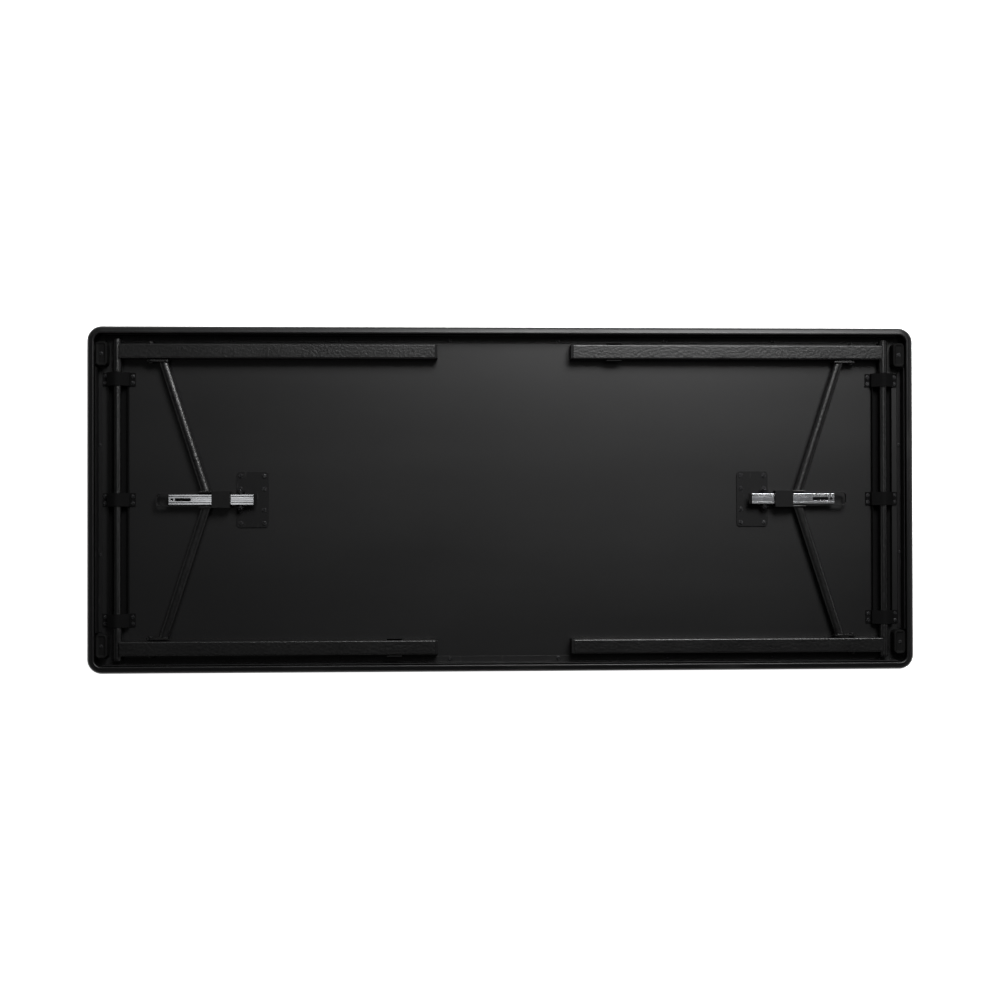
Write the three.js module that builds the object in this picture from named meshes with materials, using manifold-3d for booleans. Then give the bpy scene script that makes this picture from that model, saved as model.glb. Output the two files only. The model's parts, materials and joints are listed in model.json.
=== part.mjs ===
// Folding table, 1829 x 762 mm, lying face down with both leg frames folded into its underside.
// Millimetres. The origin is under the middle of the table: Z = 0 is the outer face of the top,
// and +Z points out of the underside. X runs along the table and Y across it.
// Each end is built once, with +X pointing out of that end, and the left end is turned half round.

import * as THREE from 'three';
import { mergeVertices } from 'three/addons/utils/BufferGeometryUtils.js';
import Module from 'manifold-3d';

const wasm = await Module();
wasm.setup();

// ---- driving dimensions ----------------------------------------------------------------------

const tableLength = 1829;
const tableWidth = 762;
const cornerRadius = 32;
const cornerSteps = 6;           // facets in a quarter turn of the outline
const fitGap = 0.2;              // between pieces that are glued, screwed or welded to each other
const runningGap = 0.4;          // between pieces that slide or turn on each other
const swingGap = 2;              // beside a piece that swings past another

const laminateThickness = 1.2;
const boardThickness = 16;       // core and both laminates

const lipWidth = 16;
const lipDepth = 8;
const lipEdgeRadius = 3.5;
const rimWall = 4;
const rimWaist = 0.5;            // how far the wall stands back from the foot and the lip
const rimShoulder = 6;           // the thicker foot of the rim that the board butts against
const rimShoulderRise = 2;       // how far the foot stands above the board
const rimFootRadius = 2;
const rimAboveLegs = 2;

const railSheet = 2;             // sheet thickness of the stiffening rails
const railUpstand = 26;
const longLedgeWidth = 15;
const railSetback = 1;           // behind the inner edge of the lip
const endLedgeFromStrap = 1;     // between an end ledge and the hinge straps

const legSize = 32;
const legWall = 1.6;
const legCorner = 3;
const legAboveBoard = 2;
const legLength = 697;           // from the axle's middle to the cut end of the tube
const legInset = 54.5;           // from the table's long edge to the leg's middle
const capThickness = 6;
const capPlugLength = 18;
const capOverhang = 0.5;         // of the cap's head past the tube, on each side

const axleRadius = 8;
const axleInset = 63.5;          // from the table's short edge
const axleOverhang = 11.5;       // past the outer face of a leg
const sleeveWall = 1.5;
const sleeveLength = 67;
const sleeveFromEnd = 4;         // from the end of the axle
const copeDepth = 7;             // how far the tube end reaches over the sleeve

const strapWidth = 30;
const strapSheet = 2.5;
const strapFlange = 11.2;        // on each side of the saddle
const strapSlope = Math.PI * 0.3; // of the normal of the saddle's sloping sides, above level
const strapInset = 115;          // from the table's long edge to the middle of an outer strap

const channelWidth = 44;         // of the steel channel that the axle lies in
const channelSheet = 1.2;

const padLength = 54;
const padWidth = 26;
const padHeight = 28;
const padInset = 33;             // from the table's long edge
const padEdgeRadius = 3;
const padCorner = 6;             // of the flat part inside the rounded edge

const clipLength = 33;
const clipSheet = 1.5;
const clipWallHeight = 27;
const clipFlare = 2.2;
const clipFromFoot = 90;         // from the cut end of the leg to the clip's middle

const pivotFromAxle = 72.5;      // brace pivot on the leg
const railPivotFromAxle = 268;   // rail pivot on the base plate
const pivotShankRadius = 4;
const pivotHeadRadius = 6.5;
const pivotHeadHeight = 3;
const pivotHeadEdge = 1.5;
const pivotSpacer = 2.7;
const pivotNutHeight = 5;

const railWidth = 23;
const railHeight = 16;
const railWall = 2;
const railTail = 30;             // past the pivot, towards the table's middle
const railReach = 155;           // past the pivot, towards the axle
const railNoseDrop = 4;          // what is left of the side walls at the cut-back tail
const stopHoleRadius = 3;
const stopHoleFromEnd = 7;       // from the rail's outer end

const plateLength = 70;
const plateWidth = 123;
const plateThickness = 3;
const plateCorner = 7;
const platePivotOffset = 25;     // from the middle of the plate to the rail pivot
const earThickness = 3;
const earRadius = 9;
const earGap = 4;                // between the rail and an ear
const pinRadius = 3.5;
const pinHeadRadius = 6;
const pinHeadHeight = 3;

const collarLength = 40;
const collarFromPivot = 20.5;    // from the rail pivot to the collar's inner end
const collarWall = 2.4;
const collarFloor = 3.5;
const collarRoof = 2.1;

const bailThickness = 2.5;
const bailGap = 1.2;             // between the rail and the bail
const bailHeight = 8;
const bailReach = 124;           // from the collar's outer end to the loop's outer face
const bailLoopRadius = 9;
const bailPivotFromEnd = 7.5;    // from the collar's outer end
const bailStubRadius = 2.5;
const toothFromPivot = 24;
const toothLength = 6;
const toothWidth = 5;
const toothDrop = 2.1;
const slotEndRoom = 1.5;         // past the tooth at the ends of its slot, where it swings in
const slotSideRoom = 1;
const slotCorner = 1.5;
const lockSlotRun = 26;          // how far the lock slot goes on outwards past the tooth
const bridgeHeight = 2.5;

const apexLength = 29;
const apexSheet = 2.8;
const apexBelowRail = 2.2;
const apexHeight = 24;

const armWidth = 20;
const armHeight = 14;
const armWall = 1.5;
const tabLength = 50;
const tabHeight = 22;
const tabThickness = 4;
const tabPastPivot = 9.5;
const armFromTabEnd = 12;        // from the tab's inner end to the middle of the arm

// ---- sizes that follow from them -------------------------------------------------------------

const halfLength = tableLength / 2;
const halfWidth = tableWidth / 2;
const axleHeight = boardThickness + legAboveBoard + legSize / 2;
const rimHeight = axleHeight + legSize / 2 + rimAboveLegs;
const onBoard = boardThickness + fitGap;

const axleX = halfLength - axleInset;
const footX = axleX - legLength;
const legY = halfWidth - legInset;
const legInnerY = legY - legSize / 2;
const legOuterY = legY + legSize / 2;
const strapBore = axleRadius + runningGap;
const strapInnerX = channelWidth / 2 + fitGap;
const strapOuterX = strapInnerX + strapSheet;
const strapReach = strapOuterX + strapFlange;
const strapShoulder = (strapBore - strapInnerX * Math.cos(strapSlope)) / Math.sin(strapSlope);
const channelTop = axleHeight + strapShoulder - fitGap;
const sleeveRadius = axleRadius + fitGap + sleeveWall;
const sleeveOuterY = legOuterY + axleOverhang - sleeveFromEnd;

const pivotX = axleX - pivotFromAxle;
const railPivotX = axleX - railPivotFromAxle;
const slideTravel = Math.hypot(railPivotFromAxle, pivotFromAxle) - (railPivotFromAxle - pivotFromAxle);

const railTop = axleHeight + railHeight / 2;
const railBottom = axleHeight - railHeight / 2;
const bailInnerY = railWidth / 2 + bailGap;
const bailOuterY = bailInnerY + bailThickness;
const collarBoreY = bailOuterY + runningGap;
const collarOuterY = collarBoreY + collarWall;
const collarInnerX = railPivotX + collarFromPivot;
const collarOuterX = collarInnerX + collarLength;
const bailPivotX = collarOuterX - bailPivotFromEnd;
const toothX = bailPivotX - toothFromPivot;
const bridgeBottom = railTop + runningGap + toothDrop;
const collarRoofZ = bridgeBottom + bridgeHeight + runningGap;

const apexInnerX = collarOuterX + fitGap;
const apexOuterX = apexInnerX + apexLength;
const apexOuterY = collarOuterY;
const tabOuterY = legInnerY - fitGap - pivotSpacer - fitGap;
const tabInnerY = tabOuterY - tabThickness;
const tabOuterX = pivotX + tabPastPivot;
const tabInnerX = tabOuterX - tabLength;

// ---- colours ---------------------------------------------------------------------------------

function finish(color, roughness, metalness) {
  return new THREE.MeshStandardMaterial({ color, roughness, metalness });
}

const finishes = {
  laminate: () => finish(0x26272a, 0.5, 0),
  board: () => finish(0x8a6a45, 0.8, 0),
  rim: () => finish(0x141416, 0.35, 0),
  blackSteel: () => finish(0x1b1b1d, 0.5, 0.6),
  texturedSteel: () => finish(0x222225, 0.62, 0.5),
  zinc: () => finish(0xc9ccd0, 0.3, 1),
  blackPlastic: () => finish(0x18181a, 0.55, 0),
  rubber: () => finish(0x121212, 0.85, 0),
};

// ---- solids ----------------------------------------------------------------------------------

function toSolid(geometry) {
  const bare = geometry.clone();
  bare.deleteAttribute('normal');
  bare.deleteAttribute('uv');
  const merged = mergeVertices(bare, 1e-4);
  return new wasm.Manifold(new wasm.Mesh({
    numProp: 3,
    vertProperties: new Float32Array(merged.attributes.position.array),
    triVerts: new Uint32Array(merged.index.array),
  }));
}

function toGeometry(solid) {
  const result = solid.getMesh();
  const geometry = new THREE.BufferGeometry();
  geometry.setAttribute('position', new THREE.BufferAttribute(result.vertProperties, 3));
  geometry.setIndex(new THREE.BufferAttribute(result.triVerts, 1));
  geometry.computeVertexNormals();
  return geometry;
}

function join(...geometries) {
  return toGeometry(geometries.map(toSolid).reduce((whole, next) => whole.add(next)));
}

function cut(body, ...tools) {
  return toGeometry(tools.map(toSolid).reduce((left, tool) => left.subtract(tool), toSolid(body)));
}

// A box from its limits on each axis.
function block(x0, x1, y0, y1, z0, z1) {
  const geometry = new THREE.BoxGeometry(x1 - x0, y1 - y0, z1 - z0);
  return geometry.translate((x0 + x1) / 2, (y0 + y1) / 2, (z0 + z1) / 2);
}

// A rectangle with round corners, as an outline (a Shape) or as a hole (a Path).
function roundedRectangle(Kind, x0, x1, y0, y1, radius) {
  const outline = new Kind();
  outline.moveTo(x0 + radius, y0);
  outline.lineTo(x1 - radius, y0);
  outline.absarc(x1 - radius, y0 + radius, radius, -Math.PI / 2, 0, false);
  outline.lineTo(x1, y1 - radius);
  outline.absarc(x1 - radius, y1 - radius, radius, 0, Math.PI / 2, false);
  outline.lineTo(x0 + radius, y1);
  outline.absarc(x0 + radius, y1 - radius, radius, Math.PI / 2, Math.PI, false);
  outline.lineTo(x0, y0 + radius);
  outline.absarc(x0 + radius, y0 + radius, radius, Math.PI, Math.PI * 1.5, false);
  return outline;
}

// An outline drawn in X and Y, standing from z0 to z1.
function standing(shape, z0, z1, curveSegments = 4) {
  const geometry = new THREE.ExtrudeGeometry(shape, { depth: z1 - z0, bevelEnabled: false, curveSegments });
  return geometry.translate(0, 0, z0);
}

// An outline drawn in X and Z, running across the table from y0 to y1.
function across(shape, y0, y1, curveSegments = 5) {
  const geometry = new THREE.ExtrudeGeometry(shape, { depth: y1 - y0, bevelEnabled: false, curveSegments });
  return geometry.rotateX(Math.PI / 2).translate(0, y1, 0);
}

// A bar or hole across the table, from y0 to y1.
function crossCylinder(radius, x, z, y0, y1, sides = 16) {
  const geometry = new THREE.CylinderGeometry(radius, radius, y1 - y0, sides);
  return geometry.translate(x, (y0 + y1) / 2, z);
}

// A turned pin across the table, from pairs of radius and Y.
function crossTurned(profile, x, z, sides = 16) {
  const points = profile.map(([radius, y]) => new THREE.Vector2(radius, y));
  return new THREE.LatheGeometry(points, sides).translate(x, 0, z);
}

// ---- the top ---------------------------------------------------------------------------------

function tableOutline(Kind, inset) {
  const x = halfLength - inset;
  const y = halfWidth - inset;
  return roundedRectangle(Kind, -x, x, -y, y, cornerRadius - inset);
}

function sheet(z0, z1) {
  return standing(tableOutline(THREE.Shape, rimShoulder + fitGap), z0, z1, cornerSteps);
}

function ring(innerInset, z0, z1, edgeRadius) {
  const outer = tableOutline(THREE.Shape, edgeRadius);
  outer.holes.push(tableOutline(THREE.Path, innerInset - edgeRadius));
  const geometry = new THREE.ExtrudeGeometry(outer, {
    depth: z1 - z0 - 2 * edgeRadius,
    bevelSize: edgeRadius,
    bevelThickness: edgeRadius,
    bevelSegments: 2,
    curveSegments: cornerSteps,
  });
  return geometry.translate(0, 0, z0 + edgeRadius);
}

// A thin wall with a thick foot round the board's edge and a rolled lip at the top.
function edgeRim() {
  const foot = ring(rimShoulder, 0, boardThickness + rimShoulderRise, rimFootRadius);
  const wallShape = tableOutline(THREE.Shape, rimWaist);
  wallShape.holes.push(tableOutline(THREE.Path, rimWall));
  const wall = standing(wallShape, boardThickness / 2, rimHeight - lipDepth / 2, cornerSteps);
  const lip = ring(lipWidth, rimHeight - lipDepth, rimHeight, lipEdgeRadius);
  return join(foot, wall, lip);
}

// An angle with its ledge on the board and its upstand behind the lip.
function longRail(side) {
  const outerY = halfWidth - lipWidth - railSetback;
  const halfRun = halfLength - lipWidth - railSetback - cornerRadius / 2;
  const ledge = block(-halfRun, halfRun, outerY - longLedgeWidth, outerY, onBoard, onBoard + railSheet);
  const upstand = block(-halfRun, halfRun, outerY - railSheet, outerY, onBoard, onBoard + railUpstand);
  const rail = join(ledge, upstand);
  return side > 0 ? rail : rail.rotateZ(Math.PI);
}

function endRail() {
  const outerX = halfLength - lipWidth - railSetback;
  const halfRun = halfWidth - padInset - padLength - swingGap;
  const innerX = axleX + strapReach + endLedgeFromStrap;
  const ledge = block(innerX, outerX, -halfRun, halfRun, onBoard, onBoard + railSheet);
  const upstand = block(outerX - railSheet, outerX, -halfRun, halfRun, onBoard, onBoard + railUpstand);
  return join(ledge, upstand);
}

// A soft pad in each corner, with a domed top for the next table in a stack.
function cornerPad(side) {
  const outerX = halfLength - lipWidth - railSetback;
  const outerY = halfWidth - padInset;
  const edge = padEdgeRadius;
  const shape = roundedRectangle(
    THREE.Shape, outerX - padWidth + edge, outerX - edge,
    outerY - padLength + edge, outerY - edge, padCorner);
  const geometry = new THREE.ExtrudeGeometry(shape, {
    depth: padHeight - 2 * edge,
    bevelSize: edge,
    bevelThickness: edge,
    bevelSegments: 2,
    curveSegments: 3,
  });
  geometry.translate(0, 0, onBoard + edge);
  return side > 0 ? geometry : geometry.translate(0, padLength - 2 * outerY, 0);
}

// ---- the hinge of a leg frame ----------------------------------------------------------------

// One face of a strap's saddle, from x = -reach over the axle to x = reach. Its sides stand up from
// the board, slope in from the shoulders, and go over the axle in an arc.
function saddleLine(reach, radius, foot) {
  const shoulderZ = axleHeight + (radius - reach * Math.cos(strapSlope)) / Math.sin(strapSlope);
  const overAxle = [0, 1, 2, 3, 4, 5, 6].map((step) => {
    const angle = Math.PI - strapSlope + (2 * strapSlope - Math.PI) * step / 6;
    return [radius * Math.cos(angle), axleHeight + radius * Math.sin(angle)];
  });
  return [[-reach, foot], [-reach, shoulderZ], ...overAxle, [reach, shoulderZ], [reach, foot]];
}

// A strap that bridges the channel and holds the axle down, with a flange on each side.
function hingeStrap(y) {
  const flangeTop = onBoard + strapSheet;
  const outline = [
    [-strapReach, onBoard],
    ...saddleLine(strapInnerX, strapBore, onBoard),
    [strapReach, onBoard],
    [strapReach, flangeTop],
    ...saddleLine(strapOuterX, strapBore + strapSheet, flangeTop).reverse(),
    [-strapReach, flangeTop],
  ];
  const shape = new THREE.Shape(outline.map(([x, z]) => new THREE.Vector2(x, z)));
  return across(shape, y - strapWidth / 2, y + strapWidth / 2).translate(axleX, 0, 0);
}

// Folded channel on the board, open at the top, in which the axle lies between the legs.
function hingeChannel() {
  const halfRun = halfWidth - strapInset + strapWidth / 2;
  const half = channelWidth / 2;
  const body = block(axleX - half, axleX + half, -halfRun, halfRun, onBoard, channelTop);
  const room = block(
    axleX - half + channelSheet, axleX + half - channelSheet, -halfRun - 1, halfRun + 1,
    onBoard + channelSheet, channelTop + 1);
  return cut(body, room);
}

function axle() {
  const reach = legOuterY + axleOverhang;
  const chamfer = 1;
  return crossTurned([
    [0, -reach],
    [axleRadius - chamfer, -reach],
    [axleRadius, chamfer - reach],
    [axleRadius, reach - chamfer],
    [axleRadius - chamfer, reach],
    [0, reach],
  ], axleX, axleHeight, 24);
}

// A tube round the axle, welded to the end of a leg.
function hingeSleeve(side) {
  const y0 = side > 0 ? sleeveOuterY - sleeveLength : -sleeveOuterY;
  const bore = axleRadius + fitGap;
  return crossTurned([
    [bore, y0],
    [sleeveRadius, y0],
    [sleeveRadius, y0 + sleeveLength],
    [bore, y0 + sleeveLength],
    [bore, y0],
  ], axleX, axleHeight, 24);
}

// ---- legs ------------------------------------------------------------------------------------

function squareSection(Kind, size, radius) {
  return roundedRectangle(Kind, -size / 2, size / 2, -size / 2, size / 2, radius);
}

// Turns an outline drawn in Z and Y into a bar along the table from x0 to x1.
function along(shape, x0, x1, curveSegments = 3) {
  const geometry = new THREE.ExtrudeGeometry(shape, { depth: x1 - x0, bevelEnabled: false, curveSegments });
  return geometry.rotateY(Math.PI / 2).translate(x0, 0, 0);
}

// Square tube, open at the foot and coped round the sleeve at the other end.
function legTube(side) {
  const section = squareSection(THREE.Shape, legSize, legCorner);
  section.holes.push(squareSection(THREE.Path, legSize - 2 * legWall, legCorner - legWall));
  const tube = along(section, footX, axleX - copeDepth).translate(0, side * legY, axleHeight);
  const cope = crossCylinder(
    sleeveRadius + fitGap, axleX, axleHeight, side * legY - legSize, side * legY + legSize, 24);
  return cut(tube, cope);
}

// Moulded foot with a plug that is pressed into the tube.
function footCap(side) {
  const plugSize = legSize - 2 * legWall - 2 * fitGap;
  const head = squareSection(THREE.Shape, legSize + 2 * capOverhang, legCorner + capOverhang);
  const plug = squareSection(THREE.Shape, plugSize, legCorner - legWall);
  const cap = join(
    along(head, footX - fitGap - capThickness, footX - fitGap),
    along(plug, footX - capThickness / 2, footX + capPlugLength),
  );
  return cap.translate(0, side * legY, axleHeight);
}

// Spring clip that grips the folded leg, open at the top.
function legClip() {
  const inner = legSize / 2 + runningGap;
  const outer = inner + clipSheet;
  const wallTop = onBoard + clipWallHeight;
  const shape = new THREE.Shape();
  shape.moveTo(-outer, 0);
  shape.lineTo(outer, 0);
  shape.lineTo(outer, wallTop - onBoard);
  shape.lineTo(outer + clipFlare, wallTop - onBoard + 2 * clipFlare);
  shape.lineTo(inner + clipFlare, wallTop - onBoard + 2 * clipFlare);
  shape.lineTo(inner, wallTop - onBoard);
  shape.lineTo(inner, clipSheet);
  shape.lineTo(-inner, clipSheet);
  shape.lineTo(-inner, wallTop - onBoard);
  shape.lineTo(-inner - clipFlare, wallTop - onBoard + 2 * clipFlare);
  shape.lineTo(-outer - clipFlare, wallTop - onBoard + 2 * clipFlare);
  shape.lineTo(-outer, wallTop - onBoard);
  const clip = new THREE.ExtrudeGeometry(shape, { depth: clipLength, bevelEnabled: false });
  clip.rotateX(Math.PI / 2).rotateZ(Math.PI / 2);
  return clip.translate(footX + clipFromFoot - clipLength / 2, legY, onBoard);
}

// ---- brace -----------------------------------------------------------------------------------

// Plate screwed to the board, with two ears for the rail's pin.
function braceBase() {
  const middleX = railPivotX - platePivotOffset;
  const top = onBoard + plateThickness;
  const plate = standing(roundedRectangle(
    THREE.Shape, middleX - plateLength / 2, middleX + plateLength / 2,
    -plateWidth / 2, plateWidth / 2, plateCorner), onBoard, top);
  const earInnerY = railWidth / 2 + earGap;
  const earShape = new THREE.Shape();
  earShape.moveTo(-earRadius, top - 1);
  earShape.lineTo(earRadius, top - 1);
  earShape.lineTo(earRadius, axleHeight);
  earShape.absarc(0, axleHeight, earRadius, 0, Math.PI, false);
  const hole = crossCylinder(pinRadius + runningGap, railPivotX, axleHeight, -plateWidth, plateWidth);
  const ears = [1, -1].map((side) => {
    const y0 = side > 0 ? earInnerY : -earInnerY - earThickness;
    return across(earShape, y0, y0 + earThickness).translate(railPivotX, 0, 0);
  });
  return cut(join(plate, ...ears), hole);
}

function railPivotPin() {
  const headY = railWidth / 2 + earGap + earThickness + fitGap;
  const endY = headY + pinHeadHeight;
  return crossTurned([
    [0, -endY],
    [pinHeadRadius, -endY],
    [pinHeadRadius, -headY],
    [pinRadius, -headY],
    [pinRadius, headY],
    [pinHeadRadius, headY],
    [pinHeadRadius, endY],
    [0, endY],
  ], railPivotX, axleHeight);
}

// Channel with its web up. The side walls are cut back at the tail so that it can tilt on the plate.
function braceRail() {
  const x0 = railPivotX - railTail;
  const x1 = railPivotX + railReach;
  const side = new THREE.Shape();
  side.moveTo(railPivotX - earRadius, railBottom);
  side.lineTo(x1, railBottom);
  side.lineTo(x1, railTop);
  side.lineTo(x0, railTop);
  side.lineTo(x0, railTop - railNoseDrop);
  const halfRail = railWidth / 2;
  const body = across(side, -halfRail, halfRail);
  const hollow = block(
    x0 - 1, x1 + 1, railWall - halfRail, halfRail - railWall, railBottom - 1, railTop - railWall);
  const pinHole = crossCylinder(pinRadius + runningGap, railPivotX, axleHeight, -railWidth, railWidth);
  const foldedSlot = toothSlot(toothX, 0);
  const lockSlot = toothSlot(toothX + slideTravel, lockSlotRun);
  const stopHole = new THREE.CylinderGeometry(stopHoleRadius, stopHoleRadius, railHeight, 16)
    .rotateX(Math.PI / 2)
    .translate(x1 - stopHoleFromEnd, 0, railTop);
  return cut(body, hollow, pinHole, foldedSlot, lockSlot, stopHole);
}

// What is punched out of the rail's web for the tooth at x, longer outwards by run.
function toothSlot(x, run) {
  const halfWidth = toothWidth / 2 + slotSideRoom;
  const halfLength = toothLength / 2 + slotEndRoom;
  const outline = roundedRectangle(
    THREE.Shape, x - halfLength, x + halfLength + run, -halfWidth, halfWidth, slotCorner);
  return standing(outline, railTop - 2 * railWall, railTop + railWall);
}

// Box that slides on the rail, with room at its sides for the bail and above the rail for the tooth.
function collar() {
  const body = block(
    collarInnerX, collarOuterX, -collarOuterY, collarOuterY,
    railBottom - runningGap - collarFloor, collarRoofZ + collarRoof);
  const bore = block(
    collarInnerX - 1, collarOuterX + 1, -collarBoreY, collarBoreY,
    railBottom - runningGap, collarRoofZ);
  const hole = crossCylinder(bailStubRadius + runningGap, bailPivotX, axleHeight, -plateWidth, plateWidth);
  return cut(body, bore, hole);
}

// Loop of flat bar with a bridge and a tooth over the rail, and a stub on each side to rock on.
function releaseBail() {
  const loopX = collarOuterX + bailReach;
  const innerX = toothX - toothLength / 2;
  const z0 = axleHeight - bailHeight / 2;
  const z1 = axleHeight + bailHeight / 2;
  const outline = roundedRectangle(THREE.Shape, innerX, loopX, -bailOuterY, bailOuterY, bailLoopRadius);
  outline.holes.push(roundedRectangle(
    THREE.Path, innerX + bailThickness, loopX - bailThickness, -bailInnerY, bailInnerY,
    bailLoopRadius - bailThickness));
  const loop = cut(
    standing(outline, z0, z1),
    block(innerX - 1, innerX + toothLength, -bailOuterY - 1, bailOuterY + 1, z0 - 1, z1 + 1));
  const bridgeTop = bridgeBottom + bridgeHeight;
  const posts = [1, -1].map((side) => {
    const y0 = side > 0 ? bailInnerY : -bailOuterY;
    return block(innerX, innerX + 3 * toothLength, y0, y0 + bailThickness, z0, z1);
  });
  const risers = [1, -1].map((side) => {
    const y0 = side > 0 ? bailInnerY : -bailOuterY;
    return block(innerX, innerX + toothLength, y0, y0 + bailThickness, z0, bridgeTop);
  });
  const bridge = block(innerX, innerX + toothLength, -bailOuterY, bailOuterY, bridgeBottom, bridgeTop);
  const tooth = block(
    innerX, innerX + toothLength, -toothWidth / 2, toothWidth / 2, bridgeBottom - toothDrop, bridgeTop);
  const stubs = [1, -1].map((side) => {
    const y0 = side > 0 ? bailInnerY + 1 : -collarOuterY;
    return crossCylinder(bailStubRadius, bailPivotX, axleHeight, y0, y0 + collarOuterY - bailInnerY - 1);
  });
  return join(loop, ...posts, ...risers, bridge, tooth, ...stubs);
}

// Channel under the rail, which ties the two arms together beside the collar.
function apexBracket() {
  const bottom = railBottom - apexBelowRail - apexSheet;
  const body = block(apexInnerX, apexOuterX, -apexOuterY, apexOuterY, bottom, bottom + apexHeight);
  const room = block(
    apexInnerX - 1, apexOuterX + 1, apexSheet - apexOuterY, apexOuterY - apexSheet,
    bottom + apexSheet, bottom + apexHeight + 1);
  return cut(body, room);
}

// Arm of the V: a tube from the apex bracket to a flat tab beside the leg.
function braceArm(side) {
  const startX = (apexInnerX + apexOuterX) / 2;
  const endX = tabInnerX + armFromTabEnd;
  const startY = apexOuterY + fitGap;
  const endY = tabInnerY;
  const slope = (endX - startX) / (endY - startY);
  const halfX = armWidth / 2 * Math.hypot(1, slope);
  const outline = (half, y0, y1) => {
    const shape = new THREE.Shape();
    shape.moveTo(startX + slope * (y0 - startY) - half, y0);
    shape.lineTo(startX + slope * (y0 - startY) + half, y0);
    shape.lineTo(startX + slope * (y1 - startY) + half, y1);
    shape.lineTo(startX + slope * (y1 - startY) - half, y1);
    return shape;
  };
  const z0 = axleHeight - armHeight / 2;
  const z1 = axleHeight + armHeight / 2;
  const tube = cut(
    standing(outline(halfX, startY, endY + 1), z0, z1),
    standing(outline(halfX - armWall, startY - 1, endY - armWall), z0 + armWall, z1 - armWall));
  const tabShape = new THREE.Shape();
  const tip = tabHeight / 2;
  tabShape.moveTo(tabInnerX, axleHeight - tip);
  tabShape.lineTo(tabOuterX - tip, axleHeight - tip);
  tabShape.absarc(tabOuterX - tip, axleHeight, tip, -Math.PI / 2, Math.PI / 2, false);
  tabShape.lineTo(tabInnerX, axleHeight + tip);
  const hole = crossCylinder(
    pivotShankRadius + runningGap, pivotX, axleHeight, tabInnerY - armWidth, tabOuterY + armWidth);
  const arm = cut(join(tube, across(tabShape, tabInnerY, tabOuterY)), hole);
  return side > 0 ? arm : mirrored(arm);
}

// The same piece on the other side of the table's long centre line.
function mirrored(geometry) {
  return toGeometry(toSolid(geometry).mirror([0, 1, 0]));
}

// Shouldered bolt through the tab. Its end stops just short of the leg.
function pivotBolt(side) {
  const headOuter = tabInnerY - fitGap;
  const shoulder = tabOuterY + fitGap;
  const end = legInnerY - fitGap;
  const bolt = crossTurned([
    [0, headOuter - pivotHeadHeight],
    [pivotHeadRadius - pivotHeadEdge, headOuter - pivotHeadHeight],
    [pivotHeadRadius, headOuter - pivotHeadHeight + pivotHeadEdge],
    [pivotHeadRadius, headOuter],
    [pivotShankRadius, headOuter],
    [pivotShankRadius, shoulder],
    [pivotHeadRadius, shoulder],
    [pivotHeadRadius, end],
    [0, end],
  ], pivotX, axleHeight);
  return side > 0 ? bolt : mirrored(bolt);
}

// Six-sided nut with a washer face, on the outer face of the leg.
function pivotNut(side) {
  const y0 = side * (legOuterY + fitGap);
  const y1 = y0 + side * pivotNutHeight;
  return crossCylinder(pivotHeadRadius, pivotX, axleHeight, Math.min(y0, y1), Math.max(y0, y1), 6);
}

// ---- assembly --------------------------------------------------------------------------------

function piece(name, geometry, material) {
  const mesh = new THREE.Mesh(geometry, material());
  mesh.name = name;
  return mesh;
}

function tableTop() {
  const group = new THREE.Group();
  const coreBottom = laminateThickness + fitGap;
  const coreTop = boardThickness - laminateThickness - fitGap;
  group.add(
    piece('top_laminate', sheet(0, laminateThickness), finishes.laminate),
    piece('core_board', sheet(coreBottom, coreTop), finishes.board),
    piece('backing_laminate', sheet(boardThickness - laminateThickness, boardThickness), finishes.laminate),
    piece('edge_rim', edgeRim(), finishes.rim),
    piece('long_rail_back', longRail(1), finishes.blackSteel),
    piece('long_rail_front', longRail(-1), finishes.blackSteel),
  );
  return group;
}

// One end of the table. Its back and front change places when it is turned half round.
function tableEnd(end) {
  const group = new THREE.Group();
  const sideNames = end === 'right' ? { 1: 'back', '-1': 'front' } : { 1: 'front', '-1': 'back' };
  group.add(
    piece(`end_rail_${end}`, endRail(), finishes.blackSteel),
    piece(`hinge_channel_${end}`, hingeChannel(), finishes.blackSteel),
    piece(`hinge_strap_${end}_middle`, hingeStrap(0), finishes.blackSteel),
    piece(`axle_${end}`, axle(), finishes.texturedSteel),
    piece(`leg_clip_${end}`, legClip(), finishes.blackPlastic),
    piece(`brace_base_${end}`, braceBase(), finishes.blackSteel),
    piece(`rail_pin_${end}`, railPivotPin(), finishes.zinc),
    piece(`brace_rail_${end}`, braceRail(), finishes.zinc),
    piece(`brace_collar_${end}`, collar(), finishes.blackPlastic),
    piece(`release_bail_${end}`, releaseBail(), finishes.blackSteel),
    piece(`apex_bracket_${end}`, apexBracket(), finishes.texturedSteel),
  );
  for (const side of [1, -1]) {
    const where = `${end}_${sideNames[side]}`;
    group.add(
      piece(`corner_pad_${where}`, cornerPad(side), finishes.rubber),
      piece(`hinge_strap_${where}`, hingeStrap(side * (halfWidth - strapInset)), finishes.blackSteel),
      piece(`hinge_sleeve_${where}`, hingeSleeve(side), finishes.texturedSteel),
      piece(`leg_${where}`, legTube(side), finishes.texturedSteel),
      piece(`foot_cap_${where}`, footCap(side), finishes.blackPlastic),
      piece(`brace_arm_${where}`, braceArm(side), finishes.texturedSteel),
      piece(`pivot_bolt_${where}`, pivotBolt(side), finishes.blackSteel),
      piece(`pivot_nut_${where}`, pivotNut(side), finishes.blackSteel),
    );
  }
  if (end === 'left') {
    group.rotation.z = Math.PI;
  }
  return group;
}

const table = new THREE.Group();
table.add(tableTop(), tableEnd('right'), tableEnd('left'));

export default table;
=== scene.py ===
"""Folding table lying face down with its legs folded: the finished looks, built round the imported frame."""

import json
import math

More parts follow.
